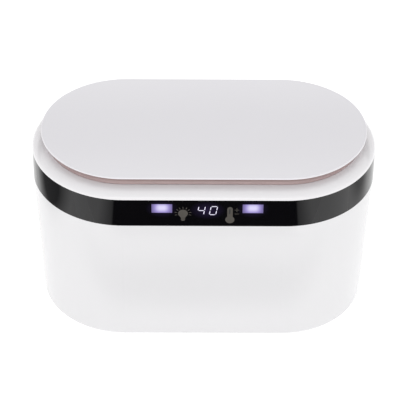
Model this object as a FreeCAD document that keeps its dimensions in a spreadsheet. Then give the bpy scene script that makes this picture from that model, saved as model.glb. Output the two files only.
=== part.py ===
import FreeCAD, Part
import math
import os
import re

import Sketcher
from FreeCAD import Placement, Rotation, Vector

os.makedirs("parts", exist_ok=True)

# Every size that can be set by itself, in millimetres. +Z is up, the front faces -Y.
SIZES = {
    "body_width": 270,
    "body_depth": 146,
    "overall_height": 159,
    "foot_drop": 2,
    "base_inset": 4.8,
    "base_edge_radius": 3.2,
    "shell_wall": 2.6,
    "rim_wall": 2.4,
    "ledge_height": 3,
    "band_height": 25,
    "band_thickness": 2.2,
    "fit_gap": 0.15,
    "slide_gap": 0.2,
    "moving_gap": 0.3,
    "bottom_lip_width": 12,
    "bottom_lip_thickness": 2.6,
    "base_plate_thickness": 2.4,
    "base_plate_inset": 12,
    "screw_boss_edge": 4.5,
    "screw_boss_radius": 4,
    "screw_boss_height": 3.8,
    "screw_shank_radius": 1.2,
    "screw_head_radius": 2.4,
    "screw_head_height": 1.4,
    "small_shank_radius": 0.8,
    "thread_gap": 0.05,
    "small_head_radius": 1.5,
    "small_head_height": 0.9,
    "foot_radius": 8,
    "foot_recess": 1,
    "foot_edge_radius": 0.8,
    "vent_width": 3,
    "vent_length": 26,
    "vent_pitch": 8,
    "vent_edge": 2,
    "shoulder_height": 6.2,
    "shelf_thickness": 2.8,
    "skirt_depth": 2,
    "skirt_thickness": 1.8,
    "neck_inset": 11.5,
    "neck_rise": 8,
    "neck_thickness": 2.5,
    "lip_inset": 7.5,
    "lip_thickness": 1.3,
    "lip_edge_radius": 0.8,
    "tub_inset": 24,
    "tub_wall": 1,
    "tub_floor_level": 45.2,
    "tub_corner_radius": 8,
    "tub_flange_inset": 18.2,
    "tub_flange_thickness": 1.2,
    "heater_thickness": 1.2,
    "heater_inset": 36,
    "insulation_edge": 1,
    "insulation_thickness": 6,
    "sensor_rise": 23,
    "sensor_tab": 3,
    "thermistor_offset": 36,
    "thermistor_radius": 1.6,
    "thermistor_length": 9,
    "cutoff_offset": 20,
    "cutoff_radius": 5,
    "cutoff_height": 3.2,
    "strap_edge": 1,
    "collar_opening_inset": 21,
    "tray_gap": 2.5,
    "tray_wall": 1.2,
    "tray_height": 26,
    "tray_leg_height": 8,
    "tray_leg_radius": 2.5,
    "grip_half_width": 9,
    "grip_height": 4,
    "grip_drop": 5,
    "tray_slot_width": 3.6,
    "tray_slot_length": 54,
    "tray_slot_pitch": 9,
    "board_thickness": 1.6,
    "board_level": 12,
    "board_half_length": 70,
    "board_width": 80,
    "board_edge_inset": 15,
    "post_radius": 3.5,
    "post_edge": 6,
    "post_back_edge": 11,
    "plug_height": 6,
    "plug_width": 8,
    "plug_side": 1,
    "jack_offset": -45,
    "jack_width": 9,
    "jack_height": 11,
    "jack_length": 14,
    "jack_barrel_radius": 4.6,
    "jack_bore_radius": 2.8,
    "jack_bore_depth": 9,
    "jack_pin_radius": 1.05,
    "jack_pin_drop": 1,
    "chip_width": 12,
    "chip_height": 1.8,
    "chip_shift": 8,
    "can_radius": 4,
    "can_height": 12,
    "can_gap": 2,
    "buzzer_radius": 6,
    "buzzer_height": 8,
    "jack_recess": 0.5,
    "jack_wall_gap": 3,
    "panel_shift": 2.4,
    "window_offset": 34.7,
    "window_width": 15.8,
    "window_height": 8.3,
    "window_drop": 3.8,
    "window_flange": 1,
    "lamp_offset": 4,
    "lamp_width": 5,
    "lamp_height": 1.6,
    "panel_height": 19.7,
    "panel_end_gap": 1,
    "panel_drop": 2.2,
    "panel_standoff": 1.85,
    "panel_opening_edge": 10,
    "panel_opening_rise": 2,
    "panel_screw_edge": 5,
    "panel_screw_bite": 1.5,
    "panel_boss_radius": 3,
    "display_half_width": 12,
    "display_height": 14,
    "display_drop": 2.8,
    "key_offset": 18.6,
    "key_drop": 13.6,
    "key_radius": 4.5,
    "step_key_offset": 22.5,
    "step_key_radius": 2,
    "step_key_drop": 9.2,
    "step_key_pitch": 5,
    "hinge_from_end": 24,
    "hinge_block_edge": 2,
    "hinge_block_front": 2.5,
    "hinge_behind_neck": 3.4,
    "hinge_above_shelf": 3.3,
    "hinge_radius": 3,
    "hinge_half_length": 14,
    "knuckle_half_length": 5,
    "hinge_pin_radius": 1.25,
    "hinge_pin_head": 0.8,
    "hinge_run_gap": 0.05,
    "bracket_half_depth": 2.4,
    "hinge_seat_depth": 2.5,
    "hinge_boss_depth": 5.6,
    "hinge_screw_edge": 4.4,
    "hinge_screw_back": 0.8,
    "knuckle_screw_edge": 2.2,
    "knuckle_screw_rise": 0.6,
    "knuckle_leaf_drop": 2.4,
    "screw_bite": 1.6,
    "plunger_offset": 48,
    "plunger_inset": 16.3,
    "plunger_radius": 1.3,
    "plunger_travel": 2,
    "plunger_length": 12,
    "plunger_flange_radius": 2.8,
    "plunger_flange_thickness": 1.2,
    "switch_half_length": 6.5,
    "switch_half_depth": 3,
    "switch_height": 11.8,
    "switch_leg_width": 2.8,
    "spring_thickness": 0.7,
    "inner_cover_thickness": 1,
    "gasket_thickness": 1,
    "gasket_outer_inset": 19,
    "gasket_width": 3.5,
    "uv_window_half_length": 80,
    "uv_window_inset": 45,
    "uv_window_thickness": 1.6,
    "uv_opening_margin": 5,
    "uv_board_half_length": 90,
    "uv_board_margin": 3,
    "uv_board_thickness": 1.4,
    "uv_led_width": 3.5,
    "uv_led_height": 1.2,
    "uv_led_pitch": 20,
    "uv_led_gap": 0.5,
    "uv_plug_edge": 1.5,
    "uv_plug_depth": 8,
    "uv_plug_front_gap": 2,
    "reflector_edge": 3,
    "reflector_thickness": 0.5,
    "lead_radius": 0.8,
    "lead_offset": 11.5,
    "lead_bend": 3.2,
    "lead_hole_gap": 0.3,
    "lead_run_inset": 26,
    "lead_drop": 4.8,
    "lead_straight_drop": 32,
    "plug_back_edge": 11,
    "plug_front_edge": 5,
    "ribbon_width": 10,
    "ribbon_thickness": 0.8,
    "ribbon_standoff": 4,
    "base_screw_end": 10,
    "foot_reach": 18,
    "foot_inset": 31,
    "cover_post_end": 12,
    "cover_post_inset": 33,
    "cover_end_post_inset": 35,
    "cover_post_radius": 3,
    "collar_post_inset": 8,
    "collar_post_radius": 3,
    "collar_post_height": 4.8,
    "sink": 0.2,
    "overrun": 1,
}

# Levels and places that follow from the sizes above.
DERIVED = {
    "straight": "body_width - body_depth",
    "half_straight": "(body_width - body_depth) / 2",
    "half_depth": "body_depth / 2",
    "lip_under": "overall_height - lip_thickness",
    "shelf": "lip_under - neck_rise",
    "band_top": "shelf - shoulder_height",
    "band_base": "band_top - band_height",
    "taper_height": "band_base - foot_drop",
    "rim_inset": "band_thickness + fit_gap",
    "rim_inner": "rim_inset + rim_wall",
    "ledge_base": "band_base - ledge_height",
    "ledge_inner": "base_inset * ledge_height / taper_height + shell_wall",
    "plate_top": "foot_drop + bottom_lip_thickness",
    "lip_top": "plate_top + bottom_lip_thickness",
    "lip_inner": "base_inset + shell_wall + bottom_lip_width",
    "board_top": "board_level + board_thickness",
    "tub_floor": "tub_floor_level + tub_wall",
    "tray_base": "tub_floor + tray_leg_height",
    "neck_base": "shelf + moving_gap",
    "gasket_top": "neck_base + gasket_thickness",
    "cover_top": "gasket_top + inner_cover_thickness",
    "window_top": "cover_top + uv_window_thickness",
    "uv_board_under": "lip_under - uv_board_thickness",
    "neck_inner": "neck_inset + neck_thickness",
    "hinge_y": "half_depth - neck_inset + hinge_behind_neck",
    "hinge_z": "shelf + hinge_above_shelf",
    "hinge_x": "half_straight - hinge_from_end",
    "hinge_seat": "shelf - hinge_seat_depth",
    "shelf_under": "shelf - shelf_thickness",
    "band_back": "0 - half_depth + band_thickness",
    "rim_back": "0 - half_depth + rim_inner",
    "panel_front": "rim_back + panel_standoff",
    "panel_back": "panel_front + board_thickness",
    "panel_top": "band_top - panel_drop",
    "panel_low": "panel_top - panel_height",
    "plunger_y": "plunger_inset - half_depth",
    "plunger_top": "gasket_top - moving_gap",
    "plunger_base": "plunger_top - plunger_length",
    "switch_top": "plunger_base - slide_gap",
    "flange_top": "shelf_under - plunger_travel - slide_gap / 2",
    "boss_inset": "base_plate_inset + screw_boss_edge",
    "board_back": "half_depth - board_edge_inset",
    "board_front": "board_back - board_width",
    "tray_inset": "tub_inset + tray_gap",
    "window_low": "band_top - window_drop - window_height",
    "window_high": "band_top - window_drop",
    "uv_window_half_depth": "half_depth - uv_window_inset",
    "uv_board_half_depth": "uv_window_half_depth - uv_board_margin",
    "jack_middle": "board_top + jack_height / 2",
    "jack_wall": "half_depth - base_inset + base_inset * (jack_middle - foot_drop) / taper_height",
    "jack_face": "jack_wall - jack_recess",
    "jack_inner": "half_depth - base_inset - shell_wall - jack_wall_gap",
    "hinge_screw_y": "hinge_y - hinge_screw_back",
    "boss_under": "shelf_under - hinge_boss_depth",
    "plate_under": "plate_top - base_plate_thickness",
    "lead_low": "tub_floor_level - insulation_thickness - heater_thickness - lead_drop",
    "rear_plug_y": "board_back - plug_back_edge",
    "front_plug_y": "board_front + plug_front_edge",
    "plug_top": "board_top + plug_height",
}

doc = FreeCAD.newDocument("uv_sterilizer")
sheet = doc.addObject("Spreadsheet::Sheet", "Sizes")
for row, (size_name, size_value) in enumerate(SIZES.items(), start=1):
    sheet.set(f"A{row}", size_name)
    sheet.set(f"B{row}", str(size_value))
    sheet.setAlias(f"B{row}", size_name)
doc.recompute()

WORD = re.compile(r"[a-z][a-z_]*[a-z]")
NODES = []


def bound(text):
    """The expression with derived names opened up and size names pointing at the sheet."""
    def one(match):
        word = match[0]
        if word in DERIVED:
            return f"({bound(DERIVED[word])})"
        if word in SIZES:
            return f"Sizes.{word}"
        return word
    return WORD.sub(one, str(text))


def value(text):
    """The number that an expression has now."""
    return float(sheet.evalExpression(bound(text)))


def bind(item, **links):
    for prop, text in links.items():
        item.setExpression(prop.replace("__", "."), bound(text))
    return item


def at(item, x=0, y=0, z=0):
    """Places a Part object by expressions."""
    bind(item, Placement__Base__x=x, Placement__Base__y=y, Placement__Base__z=z)
    return item


def node(item, name):
    """Names an object as one of the pieces that are written out."""
    item.Label = name
    NODES.append(item)
    return item


# ---- Part primitives and booleans -------------------------------------------------------------

def box(x, y, z):
    """Box between two expressions on each axis."""
    item = doc.addObject("Part::Box", "Block")
    bind(item, Length=f"({x[1]}) - ({x[0]})", Width=f"({y[1]}) - ({y[0]})", Height=f"({z[1]}) - ({z[0]})")
    return at(item, x[0], y[0], z[0])


TURNS = {
    "x": Rotation(Vector(0, 1, 0), 90),
    "y": Rotation(Vector(1, 0, 0), -90),
    "z": Rotation(),
    "-y": Rotation(Vector(1, 0, 0), 90),
    "-z": Rotation(Vector(1, 0, 0), 180),
}


def rod(radius, length, x, y, z, along="z"):
    """Cylinder that starts at a point and runs along an axis."""
    item = doc.addObject("Part::Cylinder", "Rod")
    item.Placement = Placement(Vector(), TURNS[along])
    bind(item, Radius=radius, Height=length)
    return at(item, x, y, z)


def cut(base, *tools):
    """The base without the tools."""
    tool = tools[0] if len(tools) == 1 else join(*tools)
    item = doc.addObject("Part::Cut", "Cut")
    item.Base = base
    item.Tool = tool
    return item


def join(*pieces):
    item = doc.addObject("Part::MultiFuse", "Joined")
    item.Shapes = list(pieces)
    return item


def group(pieces):
    """Separate solids in one node."""
    item = doc.addObject("Part::Compound", "Group")
    item.Links = list(pieces)
    return item


def screw(x, y, z, along, grip, size="screw"):
    """Pan head screw whose head sits on a face at the point and whose shank runs the other way."""
    back = {"z": "-z", "-z": "z", "y": "-y", "-y": "y"}[along]
    head = rod(f"{size}_head_radius", f"{size}_head_height", x, y, z, back)
    shank = rod(f"{size}_shank_radius", grip, x, y, z, along)
    return join(head, shank)


# ---- PartDesign ------------------------------------------------------------------------------

def new_body(name):
    return doc.addObject("PartDesign::Body", name)


def sketch_on(body, role, level):
    plane = [feature for feature in body.Origin.OriginFeatures if feature.Role == role][0]
    sketch = body.newObject("Sketcher::SketchObject", "Outline")
    sketch.AttachmentSupport = [(plane, "")]
    sketch.MapMode = "FlatFace"
    bind(sketch, AttachmentOffset__Base__z=level)
    return sketch


def limit(sketch, kind, *items, size=None):
    """Adds a constraint, and binds its size if it has one."""
    if size is None:
        sketch.addConstraint(Sketcher.Constraint(kind, *items))
        return
    index = sketch.addConstraint(Sketcher.Constraint(kind, *items, value(size)))
    sketch.setExpression(f"Constraints[{index}]", bound(size))


def round_ended(body, inset, level):
    """Two straight sides and two half-round ends, drawn inside the widest outline by the inset."""
    sketch = sketch_on(body, "XY_Plane", level)
    half = value("half_straight")
    radius = value(f"half_depth - ({inset})")
    up = Vector(0, 0, 1)
    right = Part.Circle(Vector(half, 0, 0), up, radius)
    left = Part.Circle(Vector(-half, 0, 0), up, radius)
    sketch.addGeometry(Part.ArcOfCircle(right, -math.pi / 2, math.pi / 2))
    sketch.addGeometry(Part.LineSegment(Vector(half, radius, 0), Vector(-half, radius, 0)))
    sketch.addGeometry(Part.ArcOfCircle(left, math.pi / 2, 3 * math.pi / 2))
    sketch.addGeometry(Part.LineSegment(Vector(-half, -radius, 0), Vector(half, -radius, 0)))
    for first, second in ((0, 1), (1, 2), (2, 3), (3, 0)):
        limit(sketch, "Tangent", first, 2, second, 1)
    limit(sketch, "Equal", 0, 2)
    limit(sketch, "Symmetric", 0, 3, 2, 3, -1, 1)
    limit(sketch, "PointOnObject", 0, 3, -1)
    limit(sketch, "Radius", 0, size=f"half_depth - ({inset})")
    limit(sketch, "DistanceX", 2, 3, 0, 3, size="straight")
    return sketch


def rectangle(body, role, across, along, level):
    """Rectangle between two expressions on each sketch axis."""
    sketch = sketch_on(body, role, level)
    left, right = value(across[0]), value(across[1])
    low, high = value(along[0]), value(along[1])
    corners = [Vector(left, low, 0), Vector(right, low, 0), Vector(right, high, 0), Vector(left, high, 0)]
    for index in range(4):
        sketch.addGeometry(Part.LineSegment(corners[index], corners[(index + 1) % 4]))
    for index in range(4):
        limit(sketch, "Coincident", index, 2, (index + 1) % 4, 1)
    for index, kind in enumerate(("Horizontal", "Vertical", "Horizontal", "Vertical")):
        limit(sketch, kind, index)
    limit(sketch, "DistanceX", -1, 1, 0, 1, size=across[0])
    limit(sketch, "DistanceY", -1, 1, 0, 1, size=along[0])
    limit(sketch, "DistanceX", 0, 1, 0, 2, size=f"({across[1]}) - ({across[0]})")
    limit(sketch, "DistanceY", 1, 1, 1, 2, size=f"({along[1]}) - ({along[0]})")
    return sketch


def pad(body, sketch, length, taper=None):
    item = body.newObject("PartDesign::Pad", "Pad")
    item.Profile = sketch
    bind(item, Length=length)
    if taper:
        bind(item, TaperAngle=taper)
    return item


def pocket(body, sketch, length, taper=None):
    """Cuts downwards from the sketch."""
    item = body.newObject("PartDesign::Pocket", "Pocket")
    item.Profile = sketch
    bind(item, Length=length)
    if taper:
        bind(item, TaperAngle=taper)
    return item


def round_edges(body, feature, level, radius):
    """Rounds every edge of the feature that lies at one level."""
    doc.recompute()
    height = value(level)
    names = []
    for index, edge in enumerate(feature.Shape.Edges, start=1):
        limits = edge.BoundBox
        if abs(limits.ZMin - height) < 1e-4 and abs(limits.ZMax - height) < 1e-4:
            names.append(f"Edge{index}")
    item = body.newObject("PartDesign::Fillet", "Rounding")
    item.Base = (feature, names)
    bind(item, Radius=radius)
    return item


def slab(name, inset, bottom, top):
    """Plain plate with the round-ended outline."""
    body = new_body(name)
    pad(body, round_ended(body, inset, bottom), f"({top}) - ({bottom})")
    return body


def ring(name, outer, inner, bottom, top):
    """Wall that follows the round-ended outline."""
    body = slab(name, outer, bottom, top)
    pocket(body, round_ended(body, inner, top), f"({top}) - ({bottom})")
    return body


def slot_row(body, feature_sketch, depth, pitch, count):
    """A pocket repeated to both sides of the middle, along X."""
    first = pocket(body, feature_sketch, depth)
    row = body.newObject("PartDesign::LinearPattern", "SlotRow")
    row.Originals = [first]
    row.Direction = (feature_sketch, ["H_Axis"])
    row.Occurrences = count
    bind(row, Length=f"({pitch}) * {count - 1}")
    body.Tip = row
    return row


# ---- sides and places ------------------------------------------------------------------------

SIDES = (("left", "-1"), ("right", "1"))
ENDS = (("front", "-1"), ("rear", "1"))
PANEL_SCREWS = [(f"{sx} * (half_straight - panel_screw_edge)", "panel_top - panel_height / 2")
                for _, sx in SIDES]
BASE_SCREWS = [(f"{sx} * (half_straight - base_screw_end)", f"{sy} * (half_depth - boss_inset)")
               for _, sx in SIDES for _, sy in ENDS]
FEET = [(f"foot_{end}_{side}", f"{sx} * (half_straight + foot_reach)", f"{sy} * (half_depth - foot_inset)")
        for end, sy in ENDS for side, sx in SIDES]
BOARD_POSTS = [(f"{sx} * (board_half_length - post_edge)", y)
               for _, sx in SIDES for y in ("board_front + post_edge", "board_back - post_back_edge")]
COVER_POSTS = [(f"{sx} * (half_straight - cover_post_end)", f"{sy} * (half_depth - cover_post_inset)")
               for _, sx in SIDES for _, sy in ENDS]
COVER_POSTS += [(f"{sx} * (half_straight + half_depth - cover_end_post_inset)", "0") for _, sx in SIDES]


# ---- casing ----------------------------------------------------------------------------------

def make_outer_shell():
    """Tapered white casing, with a set-back rim that the band goes round."""
    body = new_body("ShellBody")
    slope = "atan(base_inset / taper_height)"
    wall = pad(body, round_ended(body, "base_inset", "foot_drop"), "taper_height", slope)
    round_edges(body, wall, "foot_drop", "base_edge_radius")
    pad(body, round_ended(body, "rim_inset", "band_base"), "band_height")
    pocket(body, round_ended(body, "rim_inner", "band_top"), "band_height + ledge_height")
    pocket(body, round_ended(body, "ledge_inner", "ledge_base"), "ledge_base - lip_top", f"-1 * {slope}")
    pocket(body, round_ended(body, "lip_inner", "lip_top"), "bottom_lip_thickness")
    pocket(body, round_ended(body, "base_plate_inset - moving_gap", "plate_top"), "bottom_lip_thickness")
    bosses = [rod("screw_boss_radius", "screw_boss_height", x, y, "lip_top") for x, y in BASE_SCREWS]
    bosses += [rod("panel_boss_radius", "panel_standoff + sink", x, "panel_front", z, "-y")
               for x, z in PANEL_SCREWS]
    bite = "panel_standoff + panel_screw_bite"
    holes = [rod("screw_shank_radius + thread_gap", "bottom_lip_thickness + screw_boss_height", x, y,
                 "plate_top") for x, y in BASE_SCREWS]
    holes += [rod("small_shank_radius + thread_gap", bite, x, "panel_front", z, "-y")
              for x, z in PANEL_SCREWS]
    opening = box(("panel_opening_edge - half_straight", "half_straight - panel_opening_edge"),
                  ("0 - half_depth", "rim_back + thread_gap"),
                  ("panel_top - panel_height + panel_opening_rise", "panel_top"))
    jack = rod("jack_barrel_radius + slide_gap", "board_edge_inset + overrun", "jack_offset", "board_back",
               "jack_middle", "y")
    return node(cut(join(body, *bosses), opening, jack, *holes), "outer_shell")


def make_fascia_band():
    """Glossy band round the casing, with two window holes in its flat front."""
    band = ring("BandBody", "0", "band_thickness", "band_base", "band_top")
    holes = []
    for _, sx in SIDES:
        x = f"panel_shift + {sx} * window_offset"
        holes.append(box((f"{x} - window_width / 2", f"{x} + window_width / 2"),
                         ("0 - half_depth - overrun", "band_back + overrun"), ("window_low", "window_high")))
    return node(cut(band, *holes), "fascia_band")


def make_light_windows():
    """Clear inserts that fill the window holes and have a flange behind the band."""
    for side, sx in SIDES:
        x = f"panel_shift + {sx} * window_offset"
        face = box((f"{x} - window_width / 2 + thread_gap", f"{x} + window_width / 2 - thread_gap"),
                   ("0 - half_depth", "band_back"), ("window_low + thread_gap", "window_high - thread_gap"))
        flange = box((f"{x} - window_width / 2 - window_flange", f"{x} + window_width / 2 + window_flange"),
                     ("band_back", "band_back + window_flange"),
                     ("window_low - window_flange", "window_high + window_flange"))
        node(join(face, flange), f"light_window_{side}")


def make_top_collar():
    """Glossy shoulder ring: rests on the rim and the band, carries the tub, hinges and lid switch."""
    reach, rise = value("neck_inset"), value("shoulder_height")
    shelf, under, foot = value("shelf"), value("shelf_under"), value("band_top")
    skirt_out = value("rim_inner + fit_gap")
    skirt_in = skirt_out + value("skirt_thickness")
    flange_out, opening = value("tub_flange_inset - slide_gap"), value("collar_opening_inset")
    flange_seat = shelf - value("tub_flange_thickness")
    edge, half = value("half_depth"), value("half_straight")

    def point(inset, level):
        return Vector(half, inset - edge, level)

    lean = math.radians(45)
    middle = point(reach - reach * math.sin(lean), foot + rise * math.cos(lean))
    ellipse = Part.Ellipse(point(reach, foot + rise), point(0, foot), point(reach, foot)) \
        if rise > reach else Part.Ellipse(point(0, foot), point(reach, foot + rise), point(reach, foot))
    start, end = ellipse.parameter(point(0, foot)), ellipse.parameter(point(reach, foot + rise))
    shoulder = Part.Edge(Part.ArcOfEllipse(ellipse, min(start, end), max(start, end)))
    if abs(shoulder.distToShape(Part.Vertex(middle))[0]) > 0.01:
        raise ValueError("the shoulder arc took the wrong side of its ellipse")
    corners = [point(reach, shelf), point(flange_out, shelf), point(flange_out, flange_seat),
               point(opening, flange_seat), point(opening, under), point(skirt_in, under),
               point(skirt_in, foot - value("skirt_depth")), point(skirt_out, foot - value("skirt_depth")),
               point(skirt_out, foot), point(0, foot)]
    outline = Part.Wire(Part.__sortEdges__([shoulder] + Part.makePolygon(corners).Edges))
    face = Part.Face(outline)
    right = face.revolve(Vector(half, 0, 0), Vector(0, 0, 1), 180)
    front = face.extrude(Vector(-2 * half, 0, 0))
    across, along = Vector(1, 0, 0), Vector(0, 1, 0)
    ring_shape = right.multiFuse([front, front.mirror(Vector(), along), right.mirror(Vector(), across)])
    ring_part = doc.addObject("Part::Feature", "CollarRing")
    ring_part.Shape = ring_shape.removeSplitter()

    blocks, holes = [], []
    for _, sx in SIDES:
        x = f"{sx} * hinge_x"
        blocks.append(box((f"{x} - hinge_half_length - hinge_block_edge",
                           f"{x} + hinge_half_length + hinge_block_edge"),
                          ("hinge_y - bracket_half_depth - hinge_block_front",
                           "half_depth - rim_inner - fit_gap - sink"),
                          ("boss_under", "shelf_under + sink")))
        holes.append(box((f"{x} - hinge_half_length - fit_gap", f"{x} + hinge_half_length + fit_gap"),
                         ("hinge_y - bracket_half_depth - fit_gap",
                          "hinge_y + bracket_half_depth + fit_gap"),
                         ("hinge_seat", "shelf + overrun")))
        for step in ("-1", "1"):
            holes.append(rod("small_shank_radius + thread_gap", "hinge_boss_depth + shelf_thickness",
                             f"{x} + {step} * (hinge_half_length - hinge_screw_edge)", "hinge_screw_y",
                             "boss_under"))
        leg = f"plunger_offset + {sx} * (switch_half_length + switch_leg_width / 2 + slide_gap)"
        blocks.append(box((f"{leg} - switch_leg_width / 2", f"{leg} + switch_leg_width / 2"),
                          ("plunger_y - switch_half_depth", "plunger_y + switch_half_depth"),
                          ("switch_top - switch_height", "shelf_under + sink")))
        x = f"{sx} * (half_straight + half_depth - rim_inset - collar_post_inset)"
        blocks.append(rod("collar_post_radius", "shelf_under - band_top + collar_post_height + sink", x, "0",
                          "band_top - collar_post_height"))
        holes.append(rod("small_shank_radius + thread_gap", "collar_post_height + overrun", x, "0",
                         "band_top - collar_post_height - sink"))
    holes.append(rod("plunger_radius + slide_gap", "shelf_thickness + 2 * overrun", "plunger_offset",
                     "plunger_y", "shelf_under - overrun"))
    holes.append(rod("lead_radius + lead_hole_gap", "shelf - band_top + 2 * skirt_depth", "0 - lead_offset",
                     "hinge_y", "band_top - skirt_depth - overrun"))
    return node(cut(join(ring_part, *blocks), *holes), "top_collar")


def make_base_plate():
    """Bottom cover with feet recesses, vents, screw holes and posts for the main board."""
    body = slab("BasePlateBody", "base_plate_inset", "plate_under", "plate_top")
    count = 9
    vent = rectangle(body, "XY_Plane", (f"0 - vent_pitch * {(count - 1) / 2} - vent_width / 2",
                                        f"0 - vent_pitch * {(count - 1) / 2} + vent_width / 2"),
                     ("board_front - vent_edge - vent_length", "board_front - vent_edge"), "plate_top")
    slot_row(body, vent, "base_plate_thickness", "vent_pitch", count)
    posts = [rod("post_radius", "board_level - plate_top + sink", x, y, "plate_top - sink")
             for x, y in BOARD_POSTS]
    holes = [rod("small_shank_radius + thread_gap", "board_level - plate_top", x, y, "plate_top + sink")
             for x, y in BOARD_POSTS]
    start = "plate_under - overrun"
    for x, y in BASE_SCREWS:
        holes.append(rod("screw_shank_radius + slide_gap", "base_plate_thickness + 2 * overrun", x, y,
                         start))
        holes.append(rod("screw_head_radius + slide_gap", "screw_head_height + overrun", x, y, start))
    for _, x, y in FEET:
        holes.append(rod("foot_radius + slide_gap", "foot_recess + overrun", x, y, start))
    return node(cut(join(body, *posts), *holes), "base_plate")


def make_feet():
    for name, x, y in FEET:
        disc = rod("foot_radius", "plate_under + foot_recess", x, y, "0")
        doc.recompute()
        rounded = doc.addObject("Part::Fillet", "FootRounding")
        rounded.Base = disc
        radius = value("foot_edge_radius")
        rim = [index for index, edge in enumerate(disc.Shape.Edges, start=1) if edge.BoundBox.ZMax < 1e-4]
        rounded.Edges = [(index, radius, radius) for index in rim]
        node(rounded, name)


def make_casing_screws():
    seat = "plate_under + screw_head_height"
    grip = "plate_top - plate_under - screw_head_height + bottom_lip_thickness + screw_bite"
    node(group([screw(x, y, seat, "z", grip) for x, y in BASE_SCREWS]), "base_screws")


# ---- chamber ---------------------------------------------------------------------------------

def make_inner_tub():
    """Pressed steel chamber that hangs from its flange."""
    body = new_body("TubBody")
    pad(body, round_ended(body, "tub_inset - tub_wall", "tub_floor_level"), "shelf - tub_floor_level")
    pad(body, round_ended(body, "tub_flange_inset", "shelf - tub_flange_thickness"), "tub_flange_thickness")
    cavity = pocket(body, round_ended(body, "tub_inset", "shelf"), "shelf - tub_floor")
    inside = round_edges(body, cavity, "tub_floor", "tub_corner_radius")
    round_edges(body, inside, "tub_floor_level", "tub_corner_radius + tub_wall")
    return node(body, "inner_tub")


def make_heater():
    under = "tub_floor_level - heater_thickness"
    node(slab("HeaterBody", "heater_inset", under, "tub_floor_level"), "heater_pad")
    node(slab("InsulationBody", "heater_inset - insulation_edge", f"{under} - insulation_thickness", under),
         "insulation_pad")


def make_sensors():
    """Temperature sensor and safety cut-off, both clamped on the chamber wall."""
    wall = "half_depth - tub_inset + tub_wall"
    level = "tub_floor_level + sensor_rise"
    start = "0 - thermistor_offset"
    bead = rod("thermistor_radius", "thermistor_length", start, f"{wall} + thermistor_radius", level, "x")
    tab = box((f"{start} - sensor_tab", start), (wall, f"{wall} + thermistor_radius"),
              (f"{level} - sensor_tab", f"{level} + sensor_tab"))
    node(join(bead, tab), "thermistor")
    disc = rod("cutoff_radius", "cutoff_height", "cutoff_offset", wall, level, "y")
    strap = box(("cutoff_offset - cutoff_radius - strap_edge", "cutoff_offset + cutoff_radius + strap_edge"),
                (wall, f"{wall} + cutoff_height / 4"), (f"{level} - sensor_tab", f"{level} + sensor_tab"))
    node(join(disc, strap), "thermal_cutoff")


def make_tool_tray():
    """Loose lift-out tray with slots and four short legs."""
    body = slab("TrayBody", "tray_inset", "tray_base", "tray_base + tray_height")
    pocket(body, round_ended(body, "tray_inset + tray_wall", "tray_base + tray_height"),
           "tray_height - tray_wall")
    count = 17
    middle = (count - 1) / 2
    slot = rectangle(body, "XY_Plane", (f"0 - tray_slot_pitch * {middle} - tray_slot_width / 2",
                                        f"0 - tray_slot_pitch * {middle} + tray_slot_width / 2"),
                     ("0 - tray_slot_length / 2", "tray_slot_length / 2"), "tray_base + tray_wall")
    slot_row(body, slot, "tray_wall", "tray_slot_pitch", count)
    legs = [rod("tray_leg_radius", "tray_leg_height + sink", f"{sx} * half_straight",
                f"{sy} * (half_depth - tray_inset - tub_corner_radius)", "tub_floor")
            for _, sx in SIDES for _, sy in ENDS]
    grips = []
    for _, sx in SIDES:
        x = f"{sx} * (half_straight + half_depth - tray_inset - tray_wall / 2)"
        top = "tray_base + tray_height - grip_drop"
        grips.append(box((f"{x} - grip_half_width", f"{x} + grip_half_width"),
                         ("0 - grip_half_width", "grip_half_width"), (f"{top} - grip_height", top)))
    return node(cut(join(body, *legs), *grips), "tool_tray")


# ---- electronics -----------------------------------------------------------------------------

def make_main_board():
    plate = box(("0 - board_half_length", "board_half_length"), ("board_front", "board_back"),
                ("board_level", "board_top"))
    holes = [rod("small_shank_radius + slide_gap", "board_thickness + 2 * overrun", x, y,
                 "board_level - overrun") for x, y in BOARD_POSTS]
    node(cut(plate, *holes), "main_pcb")
    node(group([screw(x, y, "board_top", "-z", "board_thickness + 3 * screw_bite", "small")
                for x, y in BOARD_POSTS]), "pcb_screws")
    chip_y = "board_front + board_width / 2 - chip_shift"
    node(box(("0 - chip_width / 2", "chip_width / 2"),
             (f"{chip_y} - chip_width / 2", f"{chip_y} + chip_width / 2"),
             ("board_top", "board_top + chip_height")), "mcu_chip")
    cans = [rod("can_radius", "can_height", f"0 - 3 * can_radius - {place} * (2 * can_radius + can_gap)",
                f"{chip_y} + chip_width + 2 * can_radius", "board_top") for place in (0, 1)]
    node(group(cans), "capacitors")
    node(rod("buzzer_radius", "buzzer_height", "board_half_length / 2", chip_y, "board_top"), "buzzer")
    plugs = []
    for x, y in (("0 - plug_width", "front_plug_y"), ("0 - lead_offset", "rear_plug_y")):
        plugs.append(box((f"{x} - plug_width / 2 - plug_side", f"{x} + plug_width / 2 + plug_side"),
                         (f"{y} - plug_height / 2", f"{y} + plug_height / 2"), ("board_top", "plug_top")))
    node(group(plugs), "board_connectors")


def make_dc_jack():
    """Barrel inlet at the back, on the main board."""
    block = box(("jack_offset - jack_width / 2", "jack_offset + jack_width / 2"),
                ("jack_inner + jack_wall_gap - jack_length", "jack_inner"),
                ("board_top", "board_top + jack_height"))
    barrel = rod("jack_barrel_radius", "jack_face - jack_inner + jack_wall_gap", "jack_offset", "jack_face",
                 "jack_middle", "-y")
    bore = rod("jack_bore_radius", "jack_bore_depth + overrun", "jack_offset", "jack_face + overrun",
               "jack_middle", "-y")
    node(cut(join(block, barrel), bore), "dc_jack")
    node(rod("jack_pin_radius", "jack_bore_depth - jack_pin_drop", "jack_offset",
             "jack_face - jack_pin_drop", "jack_middle", "-y"), "dc_jack_contact")


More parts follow.
